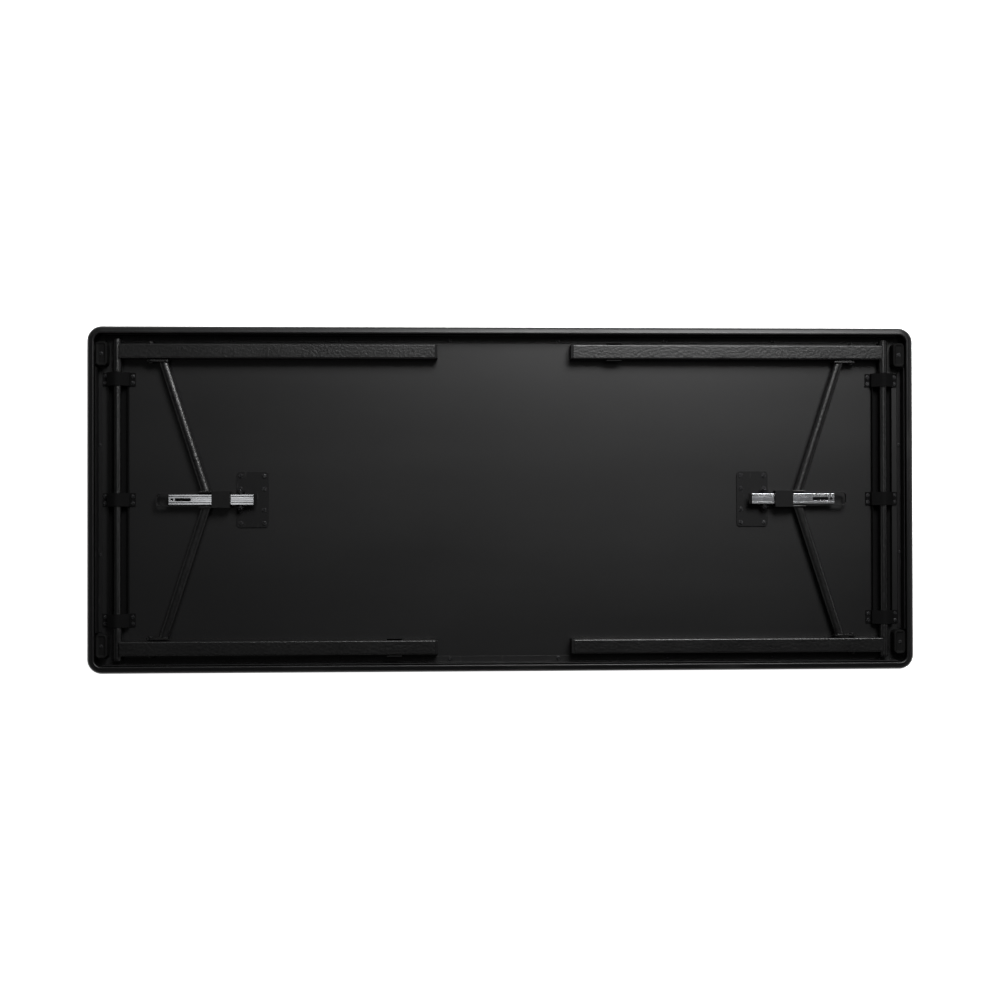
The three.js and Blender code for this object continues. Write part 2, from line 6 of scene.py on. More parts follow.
import bpy
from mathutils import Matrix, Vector


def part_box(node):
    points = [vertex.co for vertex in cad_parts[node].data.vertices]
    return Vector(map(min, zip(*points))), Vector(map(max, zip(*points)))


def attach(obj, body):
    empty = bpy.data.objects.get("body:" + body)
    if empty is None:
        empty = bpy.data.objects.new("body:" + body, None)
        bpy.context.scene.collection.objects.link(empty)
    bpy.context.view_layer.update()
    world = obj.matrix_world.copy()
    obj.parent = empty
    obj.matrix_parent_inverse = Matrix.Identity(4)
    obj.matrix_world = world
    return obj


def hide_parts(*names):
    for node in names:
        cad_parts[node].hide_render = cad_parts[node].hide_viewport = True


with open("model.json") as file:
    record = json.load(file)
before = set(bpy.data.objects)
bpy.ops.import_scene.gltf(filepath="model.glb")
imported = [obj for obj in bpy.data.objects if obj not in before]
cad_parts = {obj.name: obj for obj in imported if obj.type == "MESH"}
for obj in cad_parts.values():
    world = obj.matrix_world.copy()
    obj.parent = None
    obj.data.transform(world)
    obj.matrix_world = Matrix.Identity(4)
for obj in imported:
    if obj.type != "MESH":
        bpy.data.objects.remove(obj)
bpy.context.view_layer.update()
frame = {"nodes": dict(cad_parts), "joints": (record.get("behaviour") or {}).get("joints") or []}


# ---- The place it is seen in ---------------------------------------------------------------------
# The table lies on a plain pale floor and is looked at from straight above, a little to its left.
# One wide soft light stands beyond the back edge, with a faint one above it and a weaker one to the
# right. Two small cards overhead are there for the bright rails to mirror, and the sky is pale low down
# and almost black overhead.

CAMERA_PLACE = (-0.127, -0.025, 3.116)
CAMERA_TURN = (0.43, -2.18, -0.12)
FLOOR_SIZE = 60
FLOOR_GREY = 0.9
SKY_LOW = (0.10, 0.9)
SKY_HIGH = (0.45, 0.025)

bpy.ops.object.select_all(action="DESELECT")
bpy.ops.object.camera_add(location=CAMERA_PLACE)
camera = bpy.context.object
camera.name = "camera"
camera.data.lens = 50
camera.data.sensor_width = 36
camera.rotation_mode = "ZXY"
camera.rotation_euler = [math.radians(turn) for turn in CAMERA_TURN]
bpy.context.scene.camera = camera
bpy.context.scene.view_settings.view_transform = "Standard"

bpy.ops.mesh.primitive_plane_add(size=FLOOR_SIZE, location=(0, 0, 0))
floor = bpy.context.object
floor.name = "floor"
floor_paint = bpy.data.materials.new("floor_paint")
floor_paint.use_nodes = True
floor_shader = floor_paint.node_tree.nodes["Principled BSDF"]
floor_shader.inputs["Base Color"].default_value = (FLOOR_GREY, FLOOR_GREY, FLOOR_GREY, 1)
floor_shader.inputs["Roughness"].default_value = 0.9
floor_shader.inputs["Emission Color"].default_value = (1, 1, 1, 1)
floor_shader.inputs["Emission Strength"].default_value = 1.0
floor.data.materials.append(floor_paint)


def soft_light(name, place, aim, width, height, watts):
    """A rectangular soft box that faces a point."""
    bpy.ops.object.light_add(type="AREA", location=place)
    lamp = bpy.context.object
    lamp.name = name
    lamp.data.shape = "RECTANGLE"
    lamp.data.size = width
    lamp.data.size_y = height
    lamp.data.energy = watts
    lamp.rotation_euler = (Vector(aim) - Vector(place)).to_track_quat("-Z", "Y").to_euler()


soft_light("back_light", (0.9, 2.5, 3.3), (0, 0, 0), 1.8, 1.8, 240)
soft_light("back_fill", (0.6, 1.2, 3.9), (0, 0, 0), 2.6, 1.4, 5)
soft_light("right_light", (4.4, 0.4, 1.5), (0, 0, 0), 1.0, 1.0, 5)
soft_light("left_rail_card", (-1.25, 0.02, 4.0), (-0.65, 0, 0), 0.5, 0.4, 1.3)
soft_light("right_rail_card", (1.6, 0.02, 4.0), (0.65, 0, 0), 0.5, 0.4, 0.05)

sky = bpy.data.worlds.new("studio")
sky.use_nodes = True
sky_tree = sky.node_tree
sky_view = sky_tree.nodes.new("ShaderNodeTexCoord")
sky_split = sky_tree.nodes.new("ShaderNodeSeparateXYZ")
sky_height = sky_tree.nodes.new("ShaderNodeMapRange")
sky_height.inputs["From Min"].default_value = SKY_LOW[0]
sky_height.inputs["From Max"].default_value = SKY_HIGH[0]
sky_height.inputs["To Min"].default_value = SKY_LOW[1]
sky_height.inputs["To Max"].default_value = SKY_HIGH[1]
sky_tree.links.new(sky_view.outputs["Generated"], sky_split.inputs[0])
sky_tree.links.new(sky_split.outputs["Z"], sky_height.inputs["Value"])
sky_tree.links.new(sky_height.outputs[0], sky_tree.nodes["Background"].inputs["Strength"])
sky_tree.nodes["Background"].inputs["Color"].default_value = (1, 1, 1, 1)
bpy.context.scene.world = sky


# ---- Backing laminate and top laminate -----------------------------------------------------------
# Two sheets of black high-pressure laminate, glued to the core. Their face is satin, with a very
# fine pebble from the press plate and faint cloudy patches where hands and cloths have polished it.

class Shade:
    """A socket of a material's nodes. Arithmetic on it adds Math nodes."""

    def __init__(self, tree, socket):
        self.tree = tree
        self.socket = socket

    def node(self, kind, settings=None, inputs=None, out=0):
        """Adds a node, sets what it is, then gives its sockets values or links."""
        made = self.tree.nodes.new(kind)
        for name, value in (settings or {}).items():
            setattr(made, name, value)
        for name, value in (inputs or {}).items():
            if isinstance(value, Shade):
                self.tree.links.new(value.socket, made.inputs[name])
            else:
                made.inputs[name].default_value = value
        return Shade(self.tree, made.outputs[out])

    def maths(self, operation, first, second):
        """One sum on two values."""
        return self.node("ShaderNodeMath", {"operation": operation}, {0: first, 1: second})

    def __add__(self, other):
        return self.maths("ADD", self, other)

    __radd__ = __add__

    def __mul__(self, other):
        return self.maths("MULTIPLY", self, other)

    __rmul__ = __mul__

    def noise(self, scale, detail=2, stretch=(1, 1, 1), offset=(0, 0, 0)):
        """Noise on the piece's own coordinates, stretched along its axes."""
        place = self.node("ShaderNodeMapping", None, {"Vector": self, "Scale": stretch, "Location": offset})
        return self.node("ShaderNodeTexNoise", None, {"Vector": place, "Scale": scale, "Detail": detail})

    def band(self, low, high):
        """0 below low, 1 above high, and a smooth rise between them."""
        return self.node("ShaderNodeMapRange", {"interpolation_type": "SMOOTHSTEP"},
                         {"Value": self, "From Min": low, "From Max": high})

    def tint(self, dark, light):
        """A colour between two, by this value."""
        inputs = {0: self, 6: (*dark, 1), 7: (*light, 1)}
        return self.node("ShaderNodeMix", {"data_type": "RGBA"}, inputs, out=2)

    def bump(self, strength, distance, under=None):
        """Raises the surface by this value, on top of another bump."""
        inputs = {"Height": self, "Strength": strength, "Distance": distance}
        if under:
            inputs["Normal"] = under
        return self.node("ShaderNodeBump", None, inputs)


def finish_of(name, metallic=0.0, specular=0.5):
    """A new material. Gives it, its own coordinates and its main shader's inputs."""
    material = bpy.data.materials.new(name)
    material.use_nodes = True
    tree = material.node_tree
    shader = tree.nodes["Principled BSDF"]
    shader.inputs["Metallic"].default_value = metallic
    shader.inputs["Specular IOR Level"].default_value = specular
    place = Shade(tree, tree.nodes.new("ShaderNodeTexCoord").outputs["Object"])
    return material, place, shader


def feed(material, shader, **values):
    """Links colour, roughness and normal to the main shader."""
    sockets = {"color": "Base Color", "roughness": "Roughness", "normal": "Normal"}
    for name, value in values.items():
        material.node_tree.links.new(value.socket, shader.inputs[sockets[name]])


def black_laminate():
    material, place, shader = finish_of("black_laminate", specular=0.4)
    cloud = place.noise(2.2, 4)
    wiped = place.noise(5, 3, stretch=(0.35, 1.6, 1), offset=(3, 1, 0))
    pebble = place.noise(900, 2)
    feed(material, shader,
         color=cloud.band(0.3, 0.7).tint((0.0018, 0.0018, 0.0020), (0.0032, 0.0032, 0.0034)),
         roughness=0.34 + 0.07 * wiped + 0.04 * pebble,
         normal=pebble.bump(0.35, 0.0002))
    return material


laminate = black_laminate()
for node in ("backing_laminate", "top_laminate"):
    frame["nodes"][node].data.materials.clear()
    frame["nodes"][node].data.materials.append(laminate)


# ---- Core board ----------------------------------------------------------------------------------
# A sheet of plywood, glued up from plies that run one over the other. It is hidden between the two
# laminates, and the rim closes its edge.

def plywood():
    material, place, shader = finish_of("plywood")
    grain = place.noise(30, 3, stretch=(0.1, 3, 1))
    ply = place.node("ShaderNodeTexWave", {"bands_direction": "Z"},
                     {"Vector": place, "Scale": 180, "Distortion": 0.6})
    feed(material, shader,
         color=(0.6 * grain + 0.4 * ply).tint((0.16, 0.09, 0.045), (0.42, 0.28, 0.15)),
         roughness=0.7 + 0.2 * grain,
         normal=grain.bump(0.3, 0.0005))
    return material


core = frame["nodes"]["core_board"]
core.data.materials.clear()
core.data.materials.append(plywood())


# ---- Edge rim ------------------------------------------------------------------------------------
# One moulding of black plastic all round the board: a foot that the board butts against, a thin wall,
# and a rolled lip whose top falls away outwards. Its section is run round the table's outline.

MM = 0.001
LIP_WIDTH = 16 * MM
LIP_DEPTH = 8 * MM
LIP_FLAT = 4.5 * MM
LIP_FALL = 4 * MM
RIM_WALL = 4 * MM
RIM_FOOT = 6 * MM
RIM_FOOT_HEIGHT = 18 * MM
CORNER_RADIUS = 32 * MM
CORNER_STEPS = 20


def leave_edit():
    """Back to object mode, if a piece is being edited."""
    if bpy.context.object and bpy.context.object.mode == "EDIT":
        bpy.ops.object.mode_set(mode="OBJECT")


def hold(piece):
    """Leaves edit mode and makes this piece the only one selected."""
    leave_edit()
    bpy.ops.object.select_all(action="DESELECT")
    piece.select_set(True)
    bpy.context.view_layer.objects.active = piece


def choose(piece, kind, test):
    """Selects the faces, edges or corners that pass a test, and enters edit mode."""
    hold(piece)
    bpy.ops.object.mode_set(mode="EDIT")
    bpy.ops.mesh.select_mode(type=kind)
    bpy.ops.mesh.select_all(action="DESELECT")
    bpy.ops.object.mode_set(mode="OBJECT")
    mesh = piece.data
    if kind == "FACE":
        for face in mesh.polygons:
            face.select = test(face.center, face.normal)
    elif kind == "EDGE":
        for edge in mesh.edges:
            ends = [mesh.vertices[i].co for i in edge.vertices]
            edge.select = test((ends[0] + ends[1]) / 2, (ends[1] - ends[0]).normalized())
    else:
        for corner in mesh.vertices:
            corner.select = test(corner.co)
    bpy.ops.object.mode_set(mode="EDIT")


def modify(piece, kind, **settings):
    """Adds a modifier and applies it."""
    hold(piece)
    modifier = piece.modifiers.new(kind.lower(), kind)
    for name, value in settings.items():
        setattr(modifier, name, value)
    bpy.ops.object.modifier_apply(modifier=modifier.name)


def settle(piece, smooth_below=35):
    """Applies the piece's place and smooths what isn't an edge."""
    hold(piece)
    bpy.ops.object.transform_apply(location=True, rotation=True, scale=True)
    bpy.ops.object.shade_smooth_by_angle(angle=math.radians(smooth_below))
    modify(piece, "WEIGHTED_NORMAL", keep_sharp=True)
    return piece


def fit_out(piece, name, material, body, replaced=()):
    """Names a finished piece, paints it, hangs it on the body it rides on, and hides the frame parts it
    stands for.
    """
    piece.name = name
    piece.data.materials.clear()
    piece.data.materials.append(material)
    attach(piece, body)
    if replaced:
        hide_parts(*replaced)
    return piece


def moulded_black():
    material, place, shader = finish_of("moulded_black", specular=0.36)
    wave = place.noise(26, 2)
    dust = place.noise(420, 3)
    rub = place.noise(9, 5, stretch=(0.4, 0.4, 3)).band(0.55, 0.75)
    feed(material, shader,
         color=rub.tint((0.0022, 0.0022, 0.0024), (0.007, 0.007, 0.007)),
         roughness=0.32 + 0.12 * rub + 0.13 * dust,
         normal=dust.bump(0.12, 0.0001, under=wave.bump(0.2, 0.0006)))
    return material


def rim_path():
    """The table's outline as a closed curve."""
    low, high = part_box("edge_rim")
    bpy.ops.mesh.primitive_plane_add(size=1, location=(0, 0, 0))
    path = bpy.context.object
    path.scale = (high.x - low.x, high.y - low.y, 1)
    hold(path)
    bpy.ops.object.transform_apply(scale=True)
    choose(path, "VERT", lambda co: True)
    bpy.ops.mesh.bevel(offset=CORNER_RADIUS, segments=CORNER_STEPS, affect="VERTICES")
    bpy.ops.mesh.delete(type="ONLY_FACE")
    bpy.ops.object.mode_set(mode="OBJECT")
    bpy.ops.object.convert(target="CURVE")
    return path


def rim_section(height):
    """The moulding's section as a closed curve: outwards is +X and up is +Y."""
    bpy.ops.mesh.primitive_plane_add(size=1, location=(-LIP_WIDTH / 2, height / 2, 0))
    section = bpy.context.object
    section.scale = (LIP_WIDTH, height, 1)
    hold(section)
    bpy.ops.object.transform_apply(location=True, scale=True)
    under_lip = height - LIP_DEPTH
    # The plane is cut along the foot, the wall and the lip, and what is outside the section goes.
    cuts = (
        ((0, RIM_FOOT_HEIGHT, 0), (0, 1, 0)),
        ((0, under_lip, 0), (0, 1, 0)),
        ((-RIM_WALL, 0, 0), (1, 0, 0)),
        ((-RIM_FOOT, 0, 0), (1, 0, 0)),
    )
    bpy.ops.object.mode_set(mode="EDIT")
    for place, across in cuts:
        bpy.ops.mesh.select_all(action="SELECT")
        bpy.ops.mesh.bisect(plane_co=place, plane_no=across)
    choose(section, "FACE", lambda centre, normal: centre.y < under_lip and (
        centre.x < -RIM_FOOT or (centre.y > RIM_FOOT_HEIGHT and centre.x < -RIM_WALL)))
    bpy.ops.mesh.delete(type="FACE")
    bpy.ops.mesh.select_all(action="SELECT")
    bpy.ops.mesh.dissolve_limited(angle_limit=math.radians(1))
    bpy.ops.mesh.bisect(plane_co=(LIP_FLAT - LIP_WIDTH, 0, 0), plane_no=(1, 0, 0))
    bpy.ops.mesh.select_all(action="SELECT")
    bpy.ops.mesh.dissolve_faces()
    # Each corner of the section, how far it falls, its radius in millimetres, and the steps round it.
    corners = (
        ((0, height), LIP_FALL, 6, 10),
        ((LIP_FLAT - LIP_WIDTH, height), 0, 1.5, 4),
        ((-LIP_WIDTH, height), 0, 2.5, 7),
        ((-LIP_WIDTH, under_lip), 0, 2, 4),
        ((-RIM_WALL, under_lip), 0, 1, 3),
        ((-RIM_WALL, RIM_FOOT_HEIGHT), 0, 1, 3),
        ((0, 0), 0, 3, 5),
    )
    for (x, y), fall, radius, steps in corners:
        choose(section, "VERT", lambda co: abs(co.x - x) < MM / 4 and abs(co.y - y) < MM / 4)
        bpy.ops.transform.translate(value=(0, -fall, 0))
        bpy.ops.mesh.bevel(offset=radius * MM, segments=steps, affect="VERTICES")
    choose(section, "VERT", lambda co: True)
    bpy.ops.mesh.delete(type="ONLY_FACE")
    bpy.ops.object.mode_set(mode="OBJECT")
    bpy.ops.object.convert(target="CURVE")
    return section


def rim_moulding():
    """The section run round the outline, as one closed skin."""
    low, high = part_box("edge_rim")
    section = rim_section(high.z - low.z)
    path = rim_path()
    path.data.dimensions = "3D"
    path.data.twist_mode = "Z_UP"
    path.data.bevel_mode = "OBJECT"
    path.data.bevel_object = section
    hold(path)
    bpy.ops.object.convert(target="MESH")
    bpy.data.objects.remove(section)
    choose(path, "VERT", lambda co: True)
    bpy.ops.mesh.remove_doubles(threshold=0.00001)
    bpy.ops.mesh.normals_make_consistent(inside=False)
    bpy.ops.object.mode_set(mode="OBJECT")
    return settle(path, 40)


moulded = moulded_black()
fit_out(rim_moulding(), "rim_moulding", moulded, "table_top", ["edge_rim"])


# ---- Stiffening rails ----------------------------------------------------------------------------
# Folded steel angles inside the rim, painted black, and duller at the ends. The ledge of each is screwed
# down to the board and its upstand stands behind the lip.

RAIL_EDGE = 0.5 * MM


def break_edges(piece, width, segments, sharper_than):
    """Rounds the edges that turn by more than so many degrees."""
    modify(piece, "BEVEL", width=width, segments=segments, limit_method="ANGLE",
           angle_limit=math.radians(sharper_than))


def from_frame(node, bevel, smooth_below=35, segments=2, edge_angle=30):
    """A merged copy of a frame part, with its sharp edges broken as in pressing or moulding."""
    source = frame["nodes"][node]
    piece = source.copy()
    piece.data = source.data.copy()
    for key in list(piece.keys()):
        del piece[key]
    piece.parent = None
    bpy.context.scene.collection.objects.link(piece)
    hold(piece)
    bpy.ops.mesh.customdata_custom_splitnormals_clear()
    choose(piece, "VERT", lambda co: True)
    bpy.ops.mesh.remove_doubles(threshold=0.00001)
    bpy.ops.mesh.dissolve_limited(angle_limit=math.radians(0.5))
    bpy.ops.object.mode_set(mode="OBJECT")
    if bevel:
        break_edges(piece, bevel, segments, edge_angle)
    return settle(piece, smooth_below)


def black_paint(name, specular, dullness):
    """Sprayed black paint with a slight orange peel, cloudy gloss and a few long scuffs."""
    material, place, shader = finish_of(name, specular=specular)
    peel = place.noise(700, 2)
    blotch = place.noise(35, 4)
    scuff = place.noise(160, 5, stretch=(1, 0.15, 1)).band(0.62, 0.72)
    feed(material, shader,
         color=scuff.tint((0.0030, 0.0030, 0.0032), (0.014, 0.014, 0.014)),
         roughness=dullness + 0.12 * blotch + 0.1 * scuff,
         normal=peel.bump(0.3, 0.00015))
    return material


painted = black_paint("satin_black_paint", 0.28, 0.40)
dull_painted = black_paint("dull_black_paint", 0.17, 0.48)
for node, paint in (("long_rail_back", painted), ("long_rail_front", painted),
                    ("end_rail_left", dull_painted), ("end_rail_right", dull_painted)):
    fit_out(from_frame(node, RAIL_EDGE), f"{node}_angle", paint, "table_top", [node])


# ---- Ledge screws --------------------------------------------------------------------------------
# Pan-head steel screws with a cross recess and a flange, blackened. One is made and the rest are copies
# of it. These hold the ledges of the rails down to the board.

SIDES = {"back": 1, "front": -1}
ENDS = {"left": -1, "right": 1}
SCREW_PITCH = 242 * MM
SCREW_RADIUS = 4.0 * MM
SCREW_HEIGHT = 2.3 * MM
SCREW_DOME = 1.1 * MM
SCREW_UNDER_RING = 0.4 * MM
SCREW_FACETS = 28
CROSS_REACH = 1.05
CROSS_WIDTH = 0.9 * MM
CROSS_DEPTH = 1.1 * MM
FLANGE_SPREAD = 1.32
FLANGE_HEIGHT = 0.7 * MM
FLANGE_EDGE = 0.25 * MM
LONG_LEDGE_INSET = 6 * MM
END_LEDGE_INSET = 4.6 * MM
END_SCREW_SCALE = 0.75
LEDGE_SHEET = 2 * MM


def blackened_screw():
    """Black oxide, worn to bare steel in flecks."""
    material, place, shader = finish_of("blackened_screw", metallic=0.7)
    fleck = place.noise(900, 3)
    worn = place.noise(300, 4).band(0.5, 0.7)
    feed(material, shader,
         color=worn.tint((0.012, 0.012, 0.013), (0.07, 0.07, 0.072)),
         roughness=0.34 + 0.2 * fleck,
         normal=fleck.bump(0.2, 0.0001))
    return material


def one_screw():
    """A screw head at the origin: domed, on a thin flange, with a cross cut into it."""
    bpy.ops.mesh.primitive_cylinder_add(vertices=SCREW_FACETS, radius=SCREW_RADIUS, depth=SCREW_HEIGHT,
                                        location=(0, 0, SCREW_HEIGHT / 2))
    head = bpy.context.object
    hold(head)
    bpy.ops.object.transform_apply(location=True)
    choose(head, "FACE", lambda centre, normal: normal.z > 0.9)
    bpy.ops.mesh.bevel(offset=SCREW_DOME, segments=4, affect="EDGES")
    choose(head, "FACE", lambda centre, normal: normal.z < -0.9)
    bpy.ops.mesh.inset(thickness=SCREW_UNDER_RING)
    for turn in (0, math.pi / 2):
        bpy.ops.object.mode_set(mode="OBJECT")
        bpy.ops.mesh.primitive_cube_add(size=1, location=(0, 0, SCREW_HEIGHT), rotation=(0, 0, turn),
                                        scale=(SCREW_RADIUS * CROSS_REACH, CROSS_WIDTH, 2 * CROSS_DEPTH))
        cutter = bpy.context.object
        modify(head, "BOOLEAN", object=cutter, operation="DIFFERENCE", solver="EXACT")
        bpy.data.objects.remove(cutter)
    bpy.ops.mesh.primitive_cylinder_add(
        vertices=SCREW_FACETS, radius=SCREW_RADIUS * FLANGE_SPREAD, depth=FLANGE_HEIGHT,
        location=(0, 0, FLANGE_HEIGHT / 2))
    flange = bpy.context.object
    break_edges(flange, FLANGE_EDGE, 2, 30)
    modify(head, "BOOLEAN", object=flange, operation="UNION", solver="EXACT")
    bpy.data.objects.remove(flange)
    return settle(head, 30)


screw_pattern = one_screw()
screw_steel = blackened_screw()


def screws(name, places, body, scale=1.0):
    """Copies of the screw on one body, at these places, each turned its own way, joined as one piece."""
    copies = []
    for number, place in enumerate(places):
        copy = screw_pattern.copy()
        copy.data = screw_pattern.data.copy()
        bpy.context.scene.collection.objects.link(copy)
        copy.location = place
        copy.scale = (scale, scale, scale)
        copy.rotation_euler = (0, 0, number * 0.7)
        copies.append(copy)
    hold(copies[0])
    for copy in copies:
        copy.select_set(True)
    bpy.ops.object.join()
    return fit_out(settle(copies[0], 30), name, screw_steel, body)


for side, sign in SIDES.items():
    low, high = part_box(f"long_rail_{side}")
    ledge_y = (low.y + LONG_LEDGE_INSET) if sign > 0 else (high.y - LONG_LEDGE_INSET)
    ledge_z = low.z + LEDGE_SHEET
    places = [((number + 0.5) * SCREW_PITCH, ledge_y, ledge_z) for number in range(-4, 4)]
    screws(f"ledge_screws_{side}", places, "table_top")
for end, sign in ENDS.items():
    low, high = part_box(f"end_rail_{end}")
    ledge_x = (low.x + END_LEDGE_INSET) if sign > 0 else (high.x - END_LEDGE_INSET)
    places = [(ledge_x, half * SCREW_PITCH, low.z + LEDGE_SHEET) for half in (-0.5, 0.5)]
    screws(f"ledge_screws_{end}", places, "table_top", END_SCREW_SCALE)


# ---- Corner stacking pads ------------------------------------------------------------------------
# Soft black rubber mouldings, one in each corner, each held by a screw in a dished recess. They keep a
# stack of folded tables apart.

PAD_BORDER = 3 * MM
PAD_DISH = 1.2 * MM
PAD_SEAT = 0.8 * MM
PAD_EDGE = 0.6 * MM
PAD_SCREW_SCALE = 0.9


def soft_rubber():
    """Black rubber with a fine grit and a faint grey bloom."""
    material, place, shader = finish_of("soft_rubber", specular=0.08)
    grit = place.noise(1100, 3)
    bloom = place.noise(60, 3)
    feed(material, shader,
         color=bloom.tint((0.0018, 0.0018, 0.0018), (0.005, 0.005, 0.005)),
         roughness=0.62 + 0.2 * bloom,
         normal=grit.bump(0.35, 0.0002))
    return material


def twin(piece, x, y):
    """A copy of a piece from the right end's back corner, mirrored to another corner of the table."""
    copy = piece.copy()
    copy.data = piece.data.copy()
    bpy.context.scene.collection.objects.link(copy)
    copy.scale = (x, y, 1)
    hold(copy)
    bpy.ops.object.transform_apply(location=True, rotation=True, scale=True)
    choose(copy, "FACE", lambda centre, normal: True)
    bpy.ops.mesh.normals_make_consistent(inside=False)
    bpy.ops.object.mode_set(mode="OBJECT")
    return copy


def stacking_pad(node):
    """The pad's block, with two steps down to its screw."""
    pad = from_frame(node, 0, 60)
    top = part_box(node)[1].z
    choose(pad, "FACE", lambda centre, normal: normal.z > 0.9 and centre.z > top - 0.1 * MM)
    bpy.ops.mesh.inset(thickness=PAD_BORDER)
    bpy.ops.transform.translate(value=(0, 0, -PAD_DISH))
    bpy.ops.mesh.inset(thickness=PAD_DISH)
    bpy.ops.transform.translate(value=(0, 0, -PAD_SEAT))
    bpy.ops.object.mode_set(mode="OBJECT")
    break_edges(pad, PAD_EDGE, 2, 25)
    return pad


rubber = soft_rubber()
pad = stacking_pad("corner_pad_right_back")
for end, x in ENDS.items():
    for side, y in SIDES.items():
        node = f"corner_pad_{end}_{side}"
        fit_out(settle(twin(pad, x, y), 50), f"{node}_soft", rubber, "table_top", [node])
        low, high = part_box(node)
        middle = (low + high) / 2
        seat = (middle.x, middle.y, high.z - PAD_DISH - PAD_SEAT)
        screws(f"pad_screw_{end}_{side}", [seat], "table_top", PAD_SCREW_SCALE)
bpy.data.objects.remove(pad)


# ---- Hinge channels ------------------------------------------------------------------------------
# Folded steel channels that the axles lie in, open at the top. They are painted dead matt black, and
# lie on the board under the hinge straps.

CHANNEL_EDGE = 0.35 * MM


def dead_matt_paint():
    """Flat black paint, streaked along the piece, that hardly shines."""
    material, place, shader = finish_of("dead_matt_paint", specular=0.08)
    dust = place.noise(650, 3)
    streak = place.noise(20, 4, stretch=(1, 0.2, 1))
    feed(material, shader,
         color=streak.tint((0.0012, 0.0012, 0.0013), (0.0035, 0.0035, 0.0036)),
         roughness=0.75 + 0.2 * dust,
         normal=dust.bump(0.3, 0.0002))
    return material


matt_paint = dead_matt_paint()
for end in ENDS:
    node = f"hinge_channel_{end}"
    channel = from_frame(node, CHANNEL_EDGE)
    fit_out(channel, f"{node}_folded", matt_paint, "table_top", [node])


# ---- Hinge straps --------------------------------------------------------------------------------
# Pressed steel saddles that bridge the channel and hold the axle in it, three to each axle. They are
# painted matt black, and two screws go through each of their flanges.

STRAP_EDGE = 0.6 * MM
STRAP_SHEET = 2.5 * MM
STRAP_SCREW_IN_X = 5.6 * MM
STRAP_SCREW_IN_Y = 7.5 * MM
STRAP_SCREW_SCALE = 0.85

for end in ENDS:
    for place in ("middle", "back", "front"):
        node = f"hinge_strap_{end}_{place}"
        low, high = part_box(node)
        strap = from_frame(node, STRAP_EDGE)
        fit_out(strap, f"{node}_pressed", matt_paint, "table_top", [node])
        flange_z = low.z + STRAP_SHEET
        places = [
            (x, y, flange_z)
            for x in (low.x + STRAP_SCREW_IN_X, high.x - STRAP_SCREW_IN_X)
            for y in (low.y + STRAP_SCREW_IN_Y, high.y - STRAP_SCREW_IN_Y)
        ]
        screws(f"strap_screws_{end}_{place}", places, "table_top", STRAP_SCREW_SCALE)


# ---- Leg tubes -----------------------------------------------------------------------------------
# Square steel tube, powder coated in a coarse black texture. It is open at the foot, and its hinge end
# is coped to fit round the hinge sleeve.

LEG_CORNER = 3.2 * MM
LEG_SHEET = 1.6 * MM
LEG_MOUTH = 40 * MM
LEG_EDGE = 0.3 * MM
COPE_ROOM = 0.1 * MM


def textured_coat():
    """Black powder coat with a coarse grain, glossier in some places than in others."""
    material, place, shader = finish_of("textured_coat", specular=0.5)
    grit = place.noise(520, 3)
    lumps = place.noise(180, 3)
    dull = place.noise(14, 4)
    feed(material, shader,
         color=grit.band(0.45, 0.75).tint((0.0009, 0.0009, 0.0010), (0.0045, 0.0045, 0.0048)),
         roughness=0.16 + 0.12 * dull + 0.24 * lumps,
         normal=grit.bump(0.5, 0.0003, under=lumps.bump(0.8, 0.0007)))
    return material


def block(low, high):
    """A box between two corners, with its place in its mesh, ready to be shaped."""
    leave_edit()
    low = Vector(low)
    high = Vector(high)
    bpy.ops.mesh.primitive_cube_add(size=1, location=(low + high) / 2, scale=high - low)
    piece = bpy.context.object
    hold(piece)
    bpy.ops.object.transform_apply(location=True, rotation=True, scale=True)
    return piece


def bar_across(low, high, radius, vertices=48):
    """A round bar that runs across the table between two corners of a box."""
    leave_edit()
    bpy.ops.mesh.primitive_cylinder_add(
        vertices=vertices, radius=radius, depth=high.y - low.y,
        location=(low + high) / 2, rotation=(math.pi / 2, 0, 0))
    piece = bpy.context.object
    hold(piece)
    bpy.ops.object.transform_apply(location=True, rotation=True, scale=True)
    return piece


def cut_away(piece, cutter):
    """Takes the shape of one piece out of another."""
    modify(piece, "BOOLEAN", object=cutter, operation="DIFFERENCE", solver="EXACT")
    bpy.data.objects.remove(cutter)


def leg_tube():
    """The right, back leg: a hollow square tube, coped at its hinge end."""
    tube = block(*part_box("leg_right_back"))
    choose(tube, "EDGE", lambda centre, along: abs(along.x) > 0.9)
    bpy.ops.mesh.bevel(offset=LEG_CORNER, segments=6, affect="EDGES")
    choose(tube, "FACE", lambda centre, normal: normal.x < -0.9)
    bpy.ops.mesh.inset(thickness=LEG_SHEET)
    bpy.ops.mesh.extrude_region_move(TRANSFORM_OT_translate={"value": (LEG_MOUTH, 0, 0)})
    sleeve_low, sleeve_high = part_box("hinge_sleeve_right_back")
    sleeve_radius = (sleeve_high.z - sleeve_low.z) / 2
    cut_away(tube, bar_across(*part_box("axle_right"), sleeve_radius + COPE_ROOM, 64))
    break_edges(tube, LEG_EDGE, 2, 50)
    return tube


coat = textured_coat()
leg = leg_tube()
for end, x in ENDS.items():
    for side, y in SIDES.items():
        node = f"leg_{end}_{side}"
        fit_out(settle(twin(leg, x, y), 40), f"{node}_tube", coat, f"{end}_legs", [node])
bpy.data.objects.remove(leg)


# ---- Axles and hinge sleeves ---------------------------------------------------------------------
# A round steel bar that turns in the straps, and at each end of it a sleeve that the leg tube is
# welded to. Both have the legs' coarse black coating.

SLEEVE_WALL = 1.5 * MM
SLEEVE_EDGE = 0.4 * MM
AXLE_CHAMFER = 1 * MM


